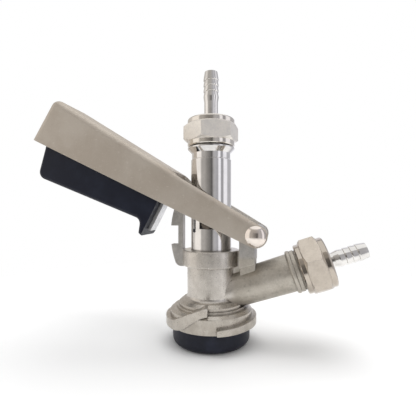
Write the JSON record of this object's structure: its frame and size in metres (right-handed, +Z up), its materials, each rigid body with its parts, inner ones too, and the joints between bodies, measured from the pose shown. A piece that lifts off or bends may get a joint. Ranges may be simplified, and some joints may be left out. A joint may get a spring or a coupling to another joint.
{
  "type": "keg coupler",
  "caption": "Lever-operated keg coupler: bayonet casting with rubber seal, sliding probe, latching handle, angled gas arm and barbed hose unions",
  "frame": {"origin": "middle of the rubber seal's underside, on the probe axis, where the coupler meets the keg neck", "axes": "+Z up along the probe to the beer outlet, +X towards the gas arm, -X towards the lever handle, +Y completes the right-handed set; the symmetry plane of handle and arm is XZ"},
  "size_m": [0.2016, 0.054, 0.1614],
  "materials": {
    "casting": "bead-blasted nickel plate on a casting, turned faces finer",
    "keg_seal": "moulded black rubber, matt with a slight sheen",
    "probe": "polished stainless tube with fine turning marks",
    "probe_ring": "lubricated black O-ring",
    "tip_seal": "lubricated black O-ring",
    "check_ball": "ground ball",
    "ball_retainer": "stamped, satin",
    "beer_washer": "grey fibre-rubber washer",
    "beer_tail": "turned and polished",
    "beer_nut": "satin nickel flats, polished chamfers",
    "gas_valve": "grey silicone duckbill",
    "gas_washer": "grey fibre-rubber washer",
    "gas_tail": "turned and polished",
    "gas_nut": "satin nickel flats, polished chamfers",
    "handle": "satin plate with fine rubbed lines along the lever",
    "pivot_rivet": "polished domed head",
    "drive_stud": "turned, slightly worn",
    "spring_seat": "plain plate",
    "guide_screws": "zinc plated",
    "trigger_grip": "black glass-filled nylon, fine moulded grain",
    "latch_plate": "stamped steel, light scratches",
    "latch_rivets": "flush rivets",
    "trigger_spring": "spring wire"
  },
  "bodies": {
    "casting": {"casting": "casting", "keg_seal": "keg_seal", "gas_valve": "gas_valve", "gas_washer": "gas_washer", "gas_tail": "gas_tail", "gas_nut": "gas_nut"},
    "handle": {"handle": "handle", "pivot_rivet": "pivot_rivet", "drive_stud": "drive_stud", "spring_seat": "spring_seat", "guide_screws": "guide_screws"},
    "probe": {"probe": "probe", "probe_ring": "probe_ring", "tip_seal": "tip_seal", "ball_retainer": "ball_retainer", "beer_washer": "beer_washer", "beer_tail": "beer_tail", "beer_nut": "beer_nut"},
    "check_ball": {"check_ball": "check_ball"},
    "trigger": {"trigger_grip": "trigger_grip", "latch_plate": "latch_plate", "latch_rivets": "latch_rivets", "trigger_spring": "trigger_spring"}
  },
  "joints": [
    {"name": "handle_swing", "type": "hinge", "parent": "casting", "child": "handle", "pos_m": [0.0275, 0, 0.0638], "axis": [0, -1, 0], "range_deg": [0, 25.5]},
    {"name": "probe_slide", "type": "slide", "parent": "casting", "child": "probe", "axis": [0, 0, -1], "range_m": [0, 0.01251]},
    {"name": "trigger_slide", "type": "slide", "parent": "handle", "child": "trigger", "axis": [-0.8829, 0, 0.4695], "range_m": [-0.0026, 0.0005], "stiffness_N_per_m": 400, "springref_m": -0.0069},
    {"name": "ball_lift", "type": "slide", "parent": "probe", "child": "check_ball", "axis": [0, 0, 1], "range_m": [0, 0.0025]}
  ],
  "couplings": [
    {"joint": "probe_slide", "follows": "handle_swing", "m_per_rad": 0.028057}
  ]
}
